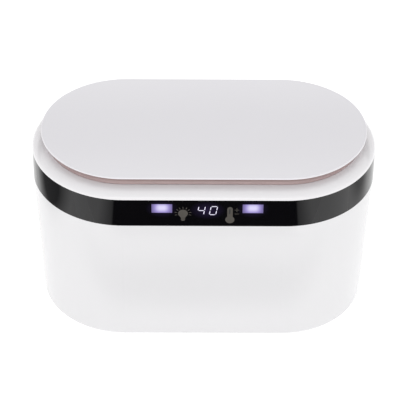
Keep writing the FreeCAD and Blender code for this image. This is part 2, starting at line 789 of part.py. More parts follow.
def make_display():
    """Board behind the band with the digits, touch pads and window lamps."""
    plate = box(("panel_end_gap - half_straight", "half_straight - panel_end_gap"),
                ("panel_front", "panel_back"), ("panel_low", "panel_top"))
    screws = [screw(x, "panel_back", z, "-y", "board_thickness + panel_standoff", "small")
              for x, z in PANEL_SCREWS]
    holes = [rod("small_shank_radius + slide_gap", "board_thickness + 2 * overrun", x,
                 "panel_back + overrun", z, "-y") for x, z in PANEL_SCREWS]
    node(cut(plate, *holes), "display_pcb")
    node(group(screws), "display_screws")
    node(box(("panel_shift - display_half_width", "panel_shift + display_half_width"),
             ("band_back + fit_gap", "panel_front"),
             ("band_top - display_drop - display_height", "band_top - display_drop")), "display_module")
    depth = "panel_front - band_back"
    pads = [rod("key_radius", depth, "panel_shift - key_offset", "band_back", "band_top - key_drop", "y")]
    for step in (0, 1):
        pads.append(rod("step_key_radius", depth, "panel_shift + step_key_offset", "band_back",
                        f"band_top - step_key_drop - {step} * step_key_pitch", "y"))
    node(group(pads), "touch_pads")
    lamps = []
    for _, sx in SIDES:
        for step in ("-1", "1"):
            x = f"panel_shift + {sx} * window_offset + {step} * lamp_offset"
            z = "window_high - window_height / 2"
            lamps.append(box((f"{x} - lamp_width / 2", f"{x} + lamp_width / 2"),
                             ("panel_front - lamp_height", "panel_front"),
                             (f"{z} - lamp_height", f"{z} + lamp_height")))
    node(group(lamps), "indicator_leds")


def tube_path(points, radius, bend):
    """Round lead along straight runs with one bend radius at every inner point."""
    corners = [Vector(*point) for point in points]
    edges, start = [], corners[0]
    for before, corner, after in zip(corners, corners[1:], corners[2:]):
        into, out = (corner - before).normalize(), (after - corner).normalize()
        half_turn = into.getAngle(out) / 2
        trim = bend * math.tan(half_turn)
        first, last = corner - into * trim, corner + out * trim
        inside = (out - into).normalize()
        middle = corner + inside * (bend / math.cos(half_turn) - bend)
        edges.append(Part.LineSegment(start, first).toShape())
        edges.append(Part.Arc(first, middle, last).toShape())
        start = last
    edges.append(Part.LineSegment(start, corners[-1]).toShape())
    path = Part.Wire(edges)
    heading = corners[1] - corners[0]
    section = Part.Wire([Part.Circle(corners[0], heading, radius).toShape()])
    shape = path.makePipeShell([section], True, False)
    expected = math.pi * radius * radius * path.Length
    if abs(shape.Volume - expected) > 0.01 * expected:
        raise ValueError("a lead's volume is not its section times its length")
    return shape


def make_leads():
    """Ribbon to the display board, and the two-part lead that meets on the hinge axis."""
    axis_y, axis_z, turn_x = value("hinge_y"), value("hinge_z"), value("lead_offset")
    radius, bend = value("lead_radius"), value("lead_bend")
    plug_y, plug_top, low = value("rear_plug_y"), value("plug_top"), value("lead_low")
    drop = [(0, axis_y, axis_z), (-turn_x, axis_y, axis_z),
            (-turn_x, axis_y, value("shelf - lead_straight_drop")), (-turn_x, plug_y, low),
            (-turn_x, plug_y, plug_top)]
    lower = doc.addObject("Part::Feature", "LeadLower")
    lower.Shape = tube_path(drop, radius, bend)
    node(lower, "lid_lead_base")

    run_y = value("half_depth - lead_run_inset")
    plug_x = value("(uv_window_half_length + uv_board_half_length) / 2")
    lift = [(0, axis_y, axis_z), (turn_x, axis_y, axis_z), (turn_x, run_y, axis_z),
            (plug_x, run_y, axis_z), (plug_x, value("uv_board_half_depth - uv_plug_front_gap"), axis_z)]
    upper = doc.addObject("Part::Feature", "LeadUpper")
    upper.Shape = tube_path(lift, radius, bend)
    node(upper, "lid_lead_top")

    width, thick = value("ribbon_width"), value("ribbon_thickness")
    left = -value("plug_width") - width / 2
    start, back = value("panel_low + plug_height"), value("panel_back")
    out, plug = back + value("ribbon_standoff"), value("front_plug_y")
    stretches = [(back, start, out, start), (out, start, out, low), (out, low, plug, low),
                 (plug, low, plug, plug_top)]
    strips = []
    for from_y, from_z, to_y, to_z in stretches:
        side = 0 if from_y == back else thick / 2
        foot = 0 if to_z == plug_top else thick / 2
        corner = Vector(left, min(from_y, to_y) - side, min(from_z, to_z) - foot)
        strips.append(Part.makeBox(width, abs(to_y - from_y) + side + thick / 2,
                                   abs(to_z - from_z) + foot + thick / 2, corner))
    ribbon = doc.addObject("Part::Feature", "Ribbon")
    ribbon.Shape = strips[0].multiFuse(strips[1:]).removeSplitter()
    node(ribbon, "front_harness")


# ---- lid switch ------------------------------------------------------------------------------

def make_lid_switch():
    place = ("plunger_offset", "plunger_y")
    node(box(("plunger_offset - switch_half_length", "plunger_offset + switch_half_length"),
             ("plunger_y - switch_half_depth", "plunger_y + switch_half_depth"),
             ("switch_top - switch_height", "switch_top")), "lid_switch")
    stem = rod("plunger_radius", "plunger_length", *place, "plunger_base")
    flange = rod("plunger_flange_radius", "plunger_flange_thickness", *place,
                 "flange_top - plunger_flange_thickness")
    node(join(stem, flange), "switch_plunger")
    inner = "plunger_radius + slide_gap"
    height = "flange_top - plunger_flange_thickness - slide_gap / 2 - switch_top"
    spring = cut(rod(f"{inner} + spring_thickness", height, *place, "switch_top"),
                 rod(inner, f"{height} + 2 * overrun", *place, "switch_top - overrun"))
    node(spring, "switch_spring")


# ---- hinges ----------------------------------------------------------------------------------

def make_hinges():
    screws, lid_screws = [], []
    for side, sx in SIDES:
        x = f"{sx} * hinge_x"
        depth = ("hinge_y - bracket_half_depth", "hinge_y + bracket_half_depth")
        bar = box((f"{x} - hinge_half_length", f"{x} + hinge_half_length"), depth,
                  ("hinge_seat", "hinge_z - hinge_radius - moving_gap"))
        parts = [bar]
        for start, stop in (("0 - hinge_half_length", "0 - knuckle_half_length - slide_gap"),
                            ("knuckle_half_length + slide_gap", "hinge_half_length")):
            parts.append(box((f"{x} + {start}", f"{x} + {stop}"), depth, ("hinge_seat", "hinge_z")))
            parts.append(rod("hinge_radius", f"({stop}) - ({start})", f"{x} + {start}",
                             "hinge_y", "hinge_z", "x"))
        bore = rod("hinge_pin_radius + hinge_run_gap", "2 * hinge_half_length + 2 * overrun",
                   f"{x} - hinge_half_length - overrun", "hinge_y", "hinge_z", "x")
        pilots = [rod("small_shank_radius + thread_gap", "hinge_z - hinge_seat - hinge_pin_radius",
                      f"{x} + {step} * (hinge_half_length - hinge_screw_edge)", "hinge_screw_y",
                      "hinge_seat - sink") for step in ("-1", "1")]
        node(cut(join(*parts), bore, *pilots), f"hinge_bracket_{side}")
        pin = rod("hinge_pin_radius", "2 * hinge_half_length", f"{x} - hinge_half_length",
                  "hinge_y", "hinge_z", "x")
        head = rod("hinge_pin_radius + hinge_pin_head", "hinge_pin_head",
                   f"{x} + {sx} * hinge_half_length" + (" - hinge_pin_head" if sx == "-1" else ""),
                   "hinge_y", "hinge_z", "x")
        node(join(pin, head), f"hinge_pin_{side}")
        leaf = box((f"{x} - knuckle_half_length", f"{x} + knuckle_half_length"),
                   ("half_depth - neck_inset", "hinge_y"),
                   ("hinge_z - knuckle_leaf_drop", "hinge_z + hinge_radius"))
        barrel = rod("hinge_radius", "2 * knuckle_half_length", f"{x} - knuckle_half_length",
                     "hinge_y", "hinge_z", "x")
        lid_bore = rod("hinge_pin_radius + hinge_run_gap", "2 * knuckle_half_length + 2 * overrun",
                       f"{x} - knuckle_half_length - overrun", "hinge_y", "hinge_z", "x")
        lid_pilots = []
        for step in ("-1", "1"):
            leaf_x = f"{x} + {step} * (knuckle_half_length - knuckle_screw_edge)"
            leaf_z = "hinge_z + knuckle_screw_rise"
            lid_pilots.append(rod("small_shank_radius + thread_gap", "screw_bite + 2 * sink", leaf_x,
                                  "half_depth - neck_inset - sink", leaf_z, "y"))
            lid_screws.append(screw(leaf_x, "half_depth - neck_inner", leaf_z, "y",
                                    "neck_thickness + screw_bite", "small"))
            screws.append(screw(f"{x} + {step} * (hinge_half_length - hinge_screw_edge)", "hinge_screw_y",
                                "boss_under", "z", "hinge_seat - boss_under + screw_bite", "small"))
        node(cut(join(leaf, barrel), lid_bore, *lid_pilots), f"lid_knuckle_{side}")
    node(group(screws), "hinge_screws")
    node(group(lid_screws), "knuckle_screws")


# ---- lid -------------------------------------------------------------------------------------

def make_lid_plate():
    body = new_body("LidPlateBody")
    plate = pad(body, round_ended(body, "lip_inset", "lip_under"), "lip_thickness")
    round_edges(body, plate, "overall_height", "lip_edge_radius")
    posts = [rod("cover_post_radius", "lip_under - cover_top + sink", x, y, "cover_top")
             for x, y in COVER_POSTS]
    holes = [rod("small_shank_radius + thread_gap", "lip_under - cover_top", x, y, "cover_top - sink")
             for x, y in COVER_POSTS]
    return node(cut(join(body, *posts), *holes), "lid_plate")


def make_lid_lining():
    """Neck ring, inner cover, seal and the lamp window under the lid."""
    neck = ring("NeckBody", "neck_inset", "neck_inner", "neck_base", "lip_under")
    lead_hole = rod("lead_radius + lead_hole_gap", "neck_thickness + 2 * overrun", "lead_offset",
                    "half_depth - neck_inner - overrun", "hinge_z", "y")
    holes = []
    for _, sx in SIDES:
        for step in ("-1", "1"):
            holes.append(rod("small_shank_radius + thread_gap", "neck_thickness + 2 * overrun",
                             f"{sx} * hinge_x + {step} * (knuckle_half_length - knuckle_screw_edge)",
                             "half_depth - neck_inner - overrun", "hinge_z + knuckle_screw_rise", "y"))
    node(cut(neck, lead_hole, *holes), "lid_trim_ring")
    cover = slab("CoverBody", "neck_inner + fit_gap", "gasket_top", "cover_top")
    light = box(("uv_opening_margin - uv_window_half_length", "uv_window_half_length - uv_opening_margin"),
                ("uv_opening_margin - uv_window_half_depth", "uv_window_half_depth - uv_opening_margin"),
                ("gasket_top - overrun", "cover_top + overrun"))
    screw_holes = [rod("small_shank_radius + slide_gap", "inner_cover_thickness + 2 * overrun", x, y,
                       "gasket_top - overrun")
                   for x, y in COVER_POSTS]
    node(cut(cover, light, *screw_holes), "lid_inner_cover")
    node(ring("GasketBody", "gasket_outer_inset", "gasket_outer_inset + gasket_width", "neck_base",
              "gasket_top"), "lid_gasket")
    node(box(("0 - uv_window_half_length", "uv_window_half_length"),
             ("0 - uv_window_half_depth", "uv_window_half_depth"), ("cover_top", "window_top")), "uv_window")
    node(group([screw(x, y, "gasket_top", "z", "inner_cover_thickness + 2 * screw_bite", "small")
                for x, y in COVER_POSTS]), "lid_screws")


def make_lamps():
    """Board with two rows of ultraviolet lamps and the bright plate round them."""
    node(box(("0 - uv_board_half_length", "uv_board_half_length"),
             ("0 - uv_board_half_depth", "uv_board_half_depth"),
             ("uv_board_under", "lip_under")), "uv_board")
    lamps, holes = [], []
    for row_side in ("-1", "1"):
        for column in range(7):
            x = f"uv_led_pitch * {column - 3}"
            y = f"{row_side} * uv_board_half_depth / 2"
            lamps.append(box((f"{x} - uv_led_width / 2", f"{x} + uv_led_width / 2"),
                             (f"{y} - uv_led_width / 2", f"{y} + uv_led_width / 2"),
                             ("uv_board_under - uv_led_height", "uv_board_under")))
            reach = "uv_led_width / 2 + uv_led_gap"
            holes.append(box((f"{x} - ({reach})", f"{x} + {reach}"), (f"{y} - ({reach})", f"{y} + {reach}"),
                             ("uv_board_under - overrun", "uv_board_under + overrun")))
    node(group(lamps), "uv_leds")
    sheet_metal = box(("reflector_edge - uv_window_half_length", "uv_window_half_length - reflector_edge"),
                      ("reflector_edge - uv_board_half_depth", "uv_board_half_depth - reflector_edge"),
                      ("uv_board_under - reflector_thickness", "uv_board_under"))
    node(cut(sheet_metal, *holes), "uv_reflector")
    node(box(("uv_window_half_length + uv_plug_edge", "uv_board_half_length - uv_plug_edge"),
             ("uv_board_half_depth - uv_plug_edge - uv_plug_depth",
              "uv_board_half_depth - uv_plug_front_gap"),
             ("cover_top", "uv_board_under")), "uv_connector")


make_outer_shell()
make_fascia_band()
make_light_windows()
make_top_collar()
make_base_plate()
make_feet()
make_casing_screws()
make_inner_tub()
make_heater()
make_sensors()
make_tool_tray()
make_main_board()
make_dc_jack()
make_display()
make_leads()
make_lid_switch()
make_hinges()
make_lid_plate()
make_lid_lining()
make_lamps()
doc.recompute()

for item in doc.Objects:
    if "Invalid" in item.State or "Error" in item.State:
        raise RuntimeError(f"{item.Name} ({item.Label}) failed: {item.State}")
for item in NODES:
    if item.Shape.isNull() or not item.Shape.isValid() or not item.Shape.Solids:
        raise RuntimeError(f"{item.Label} has no sound solid")
    item.Shape.exportStep(f"parts/{item.Label}.step")
    print(item.Label, len(item.Shape.Solids), round(item.Shape.Volume, 1))
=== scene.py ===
import math

import bmesh
import bpy
from mathutils import Matrix, Vector


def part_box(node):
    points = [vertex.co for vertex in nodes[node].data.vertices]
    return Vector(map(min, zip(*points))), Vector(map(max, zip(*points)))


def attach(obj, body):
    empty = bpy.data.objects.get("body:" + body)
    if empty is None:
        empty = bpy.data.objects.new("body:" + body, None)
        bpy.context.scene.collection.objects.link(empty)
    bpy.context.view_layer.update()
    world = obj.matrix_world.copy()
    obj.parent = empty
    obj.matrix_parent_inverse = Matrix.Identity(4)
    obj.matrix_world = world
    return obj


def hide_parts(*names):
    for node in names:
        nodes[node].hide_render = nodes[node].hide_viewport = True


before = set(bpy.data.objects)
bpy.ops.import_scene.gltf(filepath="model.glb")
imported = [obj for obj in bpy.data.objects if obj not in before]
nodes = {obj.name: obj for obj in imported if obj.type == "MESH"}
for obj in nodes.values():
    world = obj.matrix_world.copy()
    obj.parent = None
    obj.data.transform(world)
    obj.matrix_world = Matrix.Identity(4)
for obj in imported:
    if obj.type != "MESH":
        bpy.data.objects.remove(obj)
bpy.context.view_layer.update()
scene = bpy.context.scene
MM = 0.001


# ---- places read from the frame --------------------------------------------------------------

BAND_LOW, BAND_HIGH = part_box("fascia_band")
LEFT_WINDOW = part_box("light_window_left")
RIGHT_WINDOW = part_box("light_window_right")
PANEL_MIDDLE = (LEFT_WINDOW[0].x + RIGHT_WINDOW[1].x) / 2
BAND_FACE = Vector((PANEL_MIDDLE, BAND_LOW.y, BAND_HIGH.z))


def centre_of(box):
    return (box[0] + box[1]) / 2


def half_of(box):
    return (box[1] - box[0]) / 2


# ---- shader wiring ---------------------------------------------------------------------------

def new_finish(name):
    finish = bpy.data.materials.new(name)
    finish.use_nodes = True
    return finish, finish.node_tree, finish.node_tree.nodes["Principled BSDF"]


def wire(tree, source, output, target, socket):
    tree.links.new(source.outputs[output], target.inputs[socket])


def mapped(tree, stretch=(1, 1, 1), centre=(0, 0, 0)):
    """Object coordinates measured from a centre and stretched along the axes."""
    place = tree.nodes.new("ShaderNodeTexCoord")
    mapping = tree.nodes.new("ShaderNodeMapping")
    mapping.inputs["Scale"].default_value = stretch
    mapping.inputs["Location"].default_value = [-c * s for c, s in zip(centre, stretch)]
    wire(tree, place, "Object", mapping, "Vector")
    return mapping


def noise(tree, coords, scale, detail=3.0, rough=0.5):
    item = tree.nodes.new("ShaderNodeTexNoise")
    item.inputs["Scale"].default_value = scale
    item.inputs["Detail"].default_value = detail
    item.inputs["Roughness"].default_value = rough
    wire(tree, coords, "Vector", item, "Vector")
    return item


def tint(tree, source, output, low, high, start=0.0, stop=1.0):
    """Turns a factor into a colour between two tints."""
    item = tree.nodes.new("ShaderNodeValToRGB")
    item.color_ramp.elements[0].position = start
    item.color_ramp.elements[1].position = stop
    item.color_ramp.elements[0].color = (*low, 1)
    item.color_ramp.elements[1].color = (*high, 1)
    wire(tree, source, output, item, "Fac")
    return item


def spread(tree, source, output, low, high, start=0.0, stop=1.0):
    """Turns a factor into a number between two limits."""
    item = tree.nodes.new("ShaderNodeMapRange")
    item.interpolation_type = "SMOOTHSTEP"
    item.inputs["From Min"].default_value = start
    item.inputs["From Max"].default_value = stop
    item.inputs["To Min"].default_value = low
    item.inputs["To Max"].default_value = high
    wire(tree, source, output, item, "Value")
    return item


def axes_of(tree, coords):
    parts = tree.nodes.new("ShaderNodeSeparateXYZ")
    wire(tree, coords, "Vector", parts, "Vector")
    return parts


def unsigned(tree, source, output):
    """A factor's size, whatever its sign."""
    item = tree.nodes.new("ShaderNodeMath")
    item.operation = "ABSOLUTE"
    wire(tree, source, output, item, 0)
    return item


def combine(tree, operation, first, first_output, second, second_output):
    item = tree.nodes.new("ShaderNodeMath")
    item.operation = operation
    wire(tree, first, first_output, item, 0)
    wire(tree, second, second_output, item, 1)
    return item


def relief(tree, source, output, depth, over=None):
    item = tree.nodes.new("ShaderNodeBump")
    item.inputs["Distance"].default_value = depth
    wire(tree, source, output, item, "Height")
    if over is not None:
        wire(tree, over, "Normal", item, "Normal")
    return item


def halo(tree, centre, reach):
    """One at a centre, falling evenly to nothing at its reach."""
    coords = mapped(tree, [1 / r for r in reach], centre)
    ball = tree.nodes.new("ShaderNodeTexGradient")
    ball.gradient_type = "SPHERICAL"
    wire(tree, coords, "Vector", ball, "Vector")
    return ball


# ---- finishes --------------------------------------------------------------------------------

MIX_FIRST, MIX_SECOND, MIX_RESULT = 6, 7, 2  # the colour sockets of a Mix node
# Painted shade on the rose ring under the lid's lip: the ring's colour is multiplied by this tint, in full
# from this far below the top of the lid, fading to none just above the ring's foot.
PAINTED_LIP_SHADE = (0.48, 0.44, 0.43)
SHADE_FULL_BELOW_LID = 4.2 * MM
SHADE_STARTS_ABOVE_FOOT = 0.8 * MM


def moulded(name, low, high, rough, skin_depth, coat=0.0, drift_scale=12, skin_scale=700):
    """Moulded plastic or rubber: slight drift of tone, fine skin, handled patches in the gloss."""
    finish, tree, shader = new_finish(name)
    coords = mapped(tree)
    drift = noise(tree, coords, drift_scale, 1.0)
    handled = noise(tree, coords, drift_scale * 3, 4.0, 0.6)
    skin = noise(tree, coords, skin_scale, 2.0)
    wire(tree, tint(tree, drift, "Fac", low, high), "Color", shader, "Base Color")
    wire(tree, spread(tree, handled, "Fac", *rough), "Result", shader, "Roughness")
    wire(tree, relief(tree, skin, "Fac", skin_depth), "Normal", shader, "Normal")
    shader.inputs["Coat Weight"].default_value = coat
    shader.inputs["Coat Roughness"].default_value = 0.05
    return finish


def metal(name, low, high, rough, stretch=(1, 1, 1), grain=600, depth=1e-5):
    """Metal with a drawn or cast grain and soft smears in its shine."""
    finish, tree, shader = new_finish(name)
    lines = noise(tree, mapped(tree, stretch), grain, 4.0, 0.6)
    smears = noise(tree, mapped(tree), 25, 2.0)
    shine = combine(tree, "MULTIPLY", lines, "Fac", smears, "Fac")
    wire(tree, tint(tree, lines, "Fac", low, high, 0.25, 0.75), "Color", shader, "Base Color")
    wire(tree, spread(tree, shine, "Value", *rough, 0.1, 0.4), "Result", shader, "Roughness")
    wire(tree, relief(tree, lines, "Fac", depth), "Normal", shader, "Normal")
    shader.inputs["Metallic"].default_value = 1.0
    return finish


def rose_ring_painted_shade(name, foot, under):
    """Rose satin ring with a painted shade: its colour darkens from its foot up towards the lid, standing
    in for the shade under the lip of the lid.
    """
    finish = metal(name, (0.60, 0.47, 0.46), (0.66, 0.53, 0.52), (0.3, 0.42), (1, 1, 10), 500, 4e-6)
    tree = finish.node_tree
    shader = tree.nodes["Principled BSDF"]
    plain = shader.inputs["Base Color"].links[0].from_node
    # Painted shade: none at the ring's foot, full under the lid's lip.
    depth = spread(tree, axes_of(tree, mapped(tree)), "Z", 0.0, 1.0, foot, under)
    shaded = tree.nodes.new("ShaderNodeMix")
    shaded.data_type = "RGBA"
    shaded.blend_type = "MULTIPLY"
    shaded.inputs[MIX_SECOND].default_value = (*PAINTED_LIP_SHADE, 1)
    wire(tree, depth, "Result", shaded, "Factor")
    wire(tree, plain, "Color", shaded, MIX_FIRST)
    wire(tree, shaded, MIX_RESULT, shader, "Base Color")
    return finish


def circuit_board(name, mask, track, gap):
    """Solder mask over tracks, with the glass weave of the board faint underneath."""
    finish, tree, shader = new_finish(name)
    coords = mapped(tree)
    tracks = tree.nodes.new("ShaderNodeTexBrick")
    tracks.inputs["Scale"].default_value = 90
    tracks.inputs["Mortar Size"].default_value = 0.03
    tracks.inputs["Color1"].default_value = (*mask, 1)
    tracks.inputs["Color2"].default_value = (*gap, 1)
    tracks.inputs["Mortar"].default_value = (*track, 1)
    wire(tree, coords, "Vector", tracks, "Vector")
    weave = noise(tree, mapped(tree, (1, 6, 1)), 1500, 1.0)
    wire(tree, tracks, "Color", shader, "Base Color")
    wire(tree, spread(tree, weave, "Fac", 0.28, 0.42), "Result", shader, "Roughness")
    raised = relief(tree, tracks, "Fac", 3e-5)
    wire(tree, relief(tree, weave, "Fac", 5e-6, raised), "Normal", shader, "Normal")
    return finish


def smoked_band(name):
    """Piano-black band with a violet haze where the lamps behind it leak through."""
    finish, tree, shader = new_finish(name)
    coords = mapped(tree)
    drift = noise(tree, coords, 10, 2.0)
    haze = halo(tree, BAND_FACE + Vector((0, 0, -9.5 * MM)), (14 * MM, 8 * MM, 9 * MM))
    for box in (LEFT_WINDOW, RIGHT_WINDOW):
        half = half_of(box)
        spot = halo(tree, centre_of(box), (half.x * 1.45, 8 * MM, half.z * 1.75))
        haze = combine(tree, "ADD", haze, 0, spot, "Fac")
    wire(tree, tint(tree, drift, "Fac", (0.0026, 0.0024, 0.003), (0.0042, 0.004, 0.005)),
         "Color", shader, "Base Color")
    wire(tree, spread(tree, drift, "Fac", 0.02, 0.06), "Result", shader, "Roughness")
    wire(tree, tint(tree, haze, 0, (0, 0, 0), (0.014, 0.009, 0.032), 0.0, 1.0),
         "Color", shader, "Emission Color")
    shader.inputs["Emission Strength"].default_value = 1.0
    return finish


def lit_window(name, box):
    """Frosted light guide: a bright block in the middle, violet towards the ends and foot."""
    finish, tree, shader = new_finish(name)
    centre, half = centre_of(box), half_of(box)
    coords = mapped(tree, (1 / half.x, 1, 1 / half.z), (centre.x, 0, centre.z + 0.12 * half.z))
    parts = axes_of(tree, coords)
    sides = []
    for axis, start, stop, low in (("X", 0.15, 0.95, 0.0), ("Z", 0.1, 1.15, 0.25)):
        sides.append(spread(tree, unsigned(tree, parts, axis), 0, 1.0, low, start, stop))
    level = combine(tree, "MULTIPLY", sides[0], "Result", sides[1], "Result")
    frost = noise(tree, mapped(tree), 1200, 2.0)
    glow = tint(tree, level, 0, (0.13, 0.10, 0.27), (0.76, 0.71, 1.0))
    middle = glow.color_ramp.elements.new(0.4)
    middle.color = (0.33, 0.27, 0.63, 1)
    wire(tree, glow, "Color", shader, "Emission Color")
    shader.inputs["Emission Strength"].default_value = 0.92
    shader.inputs["Base Color"].default_value = (0.03, 0.025, 0.05, 1)
    wire(tree, spread(tree, frost, "Fac", 0.28, 0.4), "Result", shader, "Roughness")
    wire(tree, relief(tree, frost, "Fac", 5e-6), "Normal", shader, "Normal")
    return finish


def glowing(name, colour, dim, strength, scale=900):
    """Lamp or lit stroke with a slightly uneven glow."""
    finish, tree, shader = new_finish(name)
    grain = noise(tree, mapped(tree), scale, 2.0)
    wire(tree, tint(tree, grain, "Fac", dim, colour, 0.2, 0.6), "Color", shader, "Emission Color")
    wire(tree, spread(tree, grain, "Fac", 0.15, 0.26), "Result", shader, "Roughness")
    shader.inputs["Base Color"].default_value = (0.2, 0.19, 0.24, 1)
    shader.inputs["Emission Strength"].default_value = strength
    return finish


def clear_window(name):
    finish, tree, shader = new_finish(name)
    haze = noise(tree, mapped(tree), 40)
    wire(tree, spread(tree, haze, "Fac", 0.0, 0.04), "Result", shader, "Roughness")
    shader.inputs["Base Color"].default_value = (0.95, 0.97, 1, 1)
    shader.inputs["Transmission Weight"].default_value = 1.0
    shader.inputs["IOR"].default_value = 1.46
    return finish


def printed_ink(name):
    """Grey-olive print on the band: fine dots, matt against the gloss."""
    finish, tree, shader = new_finish(name)
    dots = noise(tree, mapped(tree), 2600, 2.0)
    wire(tree, tint(tree, dots, "Fac", (0.055, 0.048, 0.038), (0.075, 0.067, 0.056), 0.3, 0.7),
         "Color", shader, "Base Color")
    wire(tree, spread(tree, dots, "Fac", 0.5, 0.7), "Result", shader, "Roughness")
    return finish


SHELL_WHITE = moulded(
    "shell_white", (0.765, 0.760, 0.772), (0.777, 0.772, 0.784), (0.19, 0.26), 8e-6, 0.3)
LID_WHITE = moulded("lid_white", (0.856, 0.844, 0.876), (0.868, 0.856, 0.888), (0.2, 0.265), 1e-5, 0.2)
COLLAR_WHITE = moulded(
    "collar_white", (0.86, 0.848, 0.865), (0.875, 0.863, 0.88), (0.08, 0.14), 5e-6, 0.8)
INNER_WHITE = moulded(
    "inner_white", (0.76, 0.76, 0.77), (0.79, 0.79, 0.80), (0.38, 0.5), 3e-5, 0, 12, 1400)
BLACK_SATIN = moulded(
    "black_satin", (0.01, 0.01, 0.011), (0.018, 0.018, 0.02), (0.38, 0.55), 3e-5, 0, 30, 1600)
RUBBER = moulded(
    "black_rubber", (0.012, 0.012, 0.013), (0.024, 0.024, 0.025), (0.65, 0.85), 6e-5, 0, 40, 900)
SILICONE = moulded(
    "orange_silicone", (0.42, 0.12, 0.03), (0.5, 0.16, 0.04), (0.5, 0.65), 5e-5, 0, 20, 500)
FOAM = moulded("grey_foam", (0.09, 0.09, 0.095), (0.16, 0.16, 0.165), (0.85, 0.95), 3e-4, 0, 400, 1200)
CREAM = moulded("cream_nylon", (0.66, 0.62, 0.5), (0.72, 0.68, 0.57), (0.4, 0.5), 2e-5)
LEAD_GREY = moulded("grey_lead", (0.5, 0.5, 0.51), (0.56, 0.56, 0.57), (0.42, 0.55), 2e-5, 0, 60)
# The rose ring's colour carries a painted shade under the lid's lip.
ROSE_PAINTED_SHADE = rose_ring_painted_shade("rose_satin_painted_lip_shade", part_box("lid_trim_ring")[0].z + SHADE_STARTS_ABOVE_FOOT,
                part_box("lid_plate")[1].z - SHADE_FULL_BELOW_LID)
STEEL_DEEP = metal(
    "deep_drawn_steel", (0.70, 0.71, 0.72), (0.78, 0.79, 0.80), (0.28, 0.4), (8, 8, 1), 60, 3e-6)
STEEL_TRAY = metal(
    "brushed_tray_steel", (0.72, 0.73, 0.74), (0.82, 0.83, 0.84), (0.28, 0.38), (1, 14, 14), 60, 3e-6)
HINGE_STEEL = metal(
    "hinge_steel", (0.52, 0.53, 0.54), (0.62, 0.63, 0.64), (0.28, 0.42), (1, 10, 10), 200, 4e-6)
ZINC = metal("zinc_plate", (0.5, 0.51, 0.53), (0.62, 0.63, 0.64), (0.28, 0.42))
CAN = metal("capacitor_can", (0.6, 0.61, 0.63), (0.7, 0.71, 0.72), (0.2, 0.265), (1, 1, 8), 200, 3e-6)
GOLD = metal("gold_plate", (0.7, 0.52, 0.2), (0.8, 0.6, 0.26), (0.15, 0.25))
REFLECTOR = metal(
    "bright_reflector", (0.8, 0.81, 0.83), (0.88, 0.89, 0.9), (0.05, 0.14), (1, 1, 1), 150, 5e-6)
BOARD = circuit_board("board_green", (0.012, 0.10, 0.04), (0.03, 0.2, 0.08), (0.016, 0.13, 0.05))
LAMP_BOARD = circuit_board("board_white", (0.62, 0.63, 0.62), (0.72, 0.73, 0.72), (0.66, 0.67, 0.66))
QUARTZ = clear_window("quartz_window")
BAND = smoked_band("smoked_black_band")
DIGIT_GLOW = glowing("digit_glow", (0.86, 0.83, 0.95), (0.66, 0.6, 0.84), 1.0)
UV_GLOW = glowing("uv_lamp_glow", (0.75, 0.68, 1.0), (0.36, 0.24, 0.85), 1.0)
PRINT = printed_ink("band_print")

DRESS = {
    SHELL_WHITE: ["outer_shell"],
    LID_WHITE: ["lid_plate"],
    COLLAR_WHITE: ["top_collar"],
    INNER_WHITE: ["base_plate", "lid_inner_cover", "switch_plunger"],
    BAND: ["fascia_band"],
    BLACK_SATIN: ["mcu_chip", "buzzer", "dc_jack", "lid_switch", "display_module", "thermistor"],
    RUBBER: ["foot_front_left", "foot_front_right", "foot_rear_left", "foot_rear_right", "lid_gasket"],
    SILICONE: ["heater_pad"],
    FOAM: ["insulation_pad", "touch_pads"],
    CREAM: ["board_connectors", "uv_connector"],
    LEAD_GREY: ["lid_lead_base", "lid_lead_top", "front_harness"],
    ROSE_PAINTED_SHADE: ["lid_trim_ring"],
    STEEL_DEEP: ["inner_tub"],
    STEEL_TRAY: ["tool_tray"],
    HINGE_STEEL: ["hinge_bracket_left", "hinge_bracket_right", "hinge_pin_left", "hinge_pin_right",
                  "lid_knuckle_left", "lid_knuckle_right"],
    ZINC: ["switch_spring", "base_screws", "pcb_screws", "display_screws", "hinge_screws",
           "knuckle_screws", "lid_screws", "thermal_cutoff"],
    CAN: ["capacitors"],
    GOLD: ["dc_jack_contact"],
    REFLECTOR: ["uv_reflector"],
    BOARD: ["main_pcb", "display_pcb"],
    LAMP_BOARD: ["uv_board"],
    QUARTZ: ["uv_window"],
    UV_GLOW: ["uv_leds", "indicator_leds"],
    lit_window("left_window_glow", LEFT_WINDOW): ["light_window_left"],
    lit_window("right_window_glow", RIGHT_WINDOW): ["light_window_right"],
}
for finish, names in DRESS.items():
    for node_name in names:
        slots = nodes[node_name].data.materials
        slots.clear()
        slots.append(finish)


# ---- modelling by hand -----------------------------------------------------------------------

def pick(kind, wanted):
    """In edit mode, selects what passes a test and nothing else."""
    bpy.ops.mesh.select_mode(type=kind)
    bpy.ops.mesh.select_all(action="DESELECT")
    shape = bmesh.from_edit_mesh(bpy.context.object.data)
    for item in {"VERT": shape.verts, "EDGE": shape.edges, "FACE": shape.faces}[kind]:
        item.select_set(wanted(item))
    bmesh.update_edit_mesh(bpy.context.object.data)


def middle(item):
    return sum((vert.co for vert in item.verts), Vector()) / len(item.verts)


def pull(shift):
    bpy.ops.mesh.extrude_region_move(TRANSFORM_OT_translate={"value": shift})


def squeeze(factors, about):
    bpy.ops.transform.resize(value=factors, center_override=about)


def begin(name):
    """Names the primitive just added and opens it for editing."""
    piece = bpy.context.object
    piece.name = name
    bpy.ops.object.mode_set(mode="EDIT")
    return piece


def begin_in_place(name):
    """As begin, but the primitive's place goes into its mesh first."""
    bpy.ops.object.transform_apply(location=True, rotation=True, scale=True)
    return begin(name)


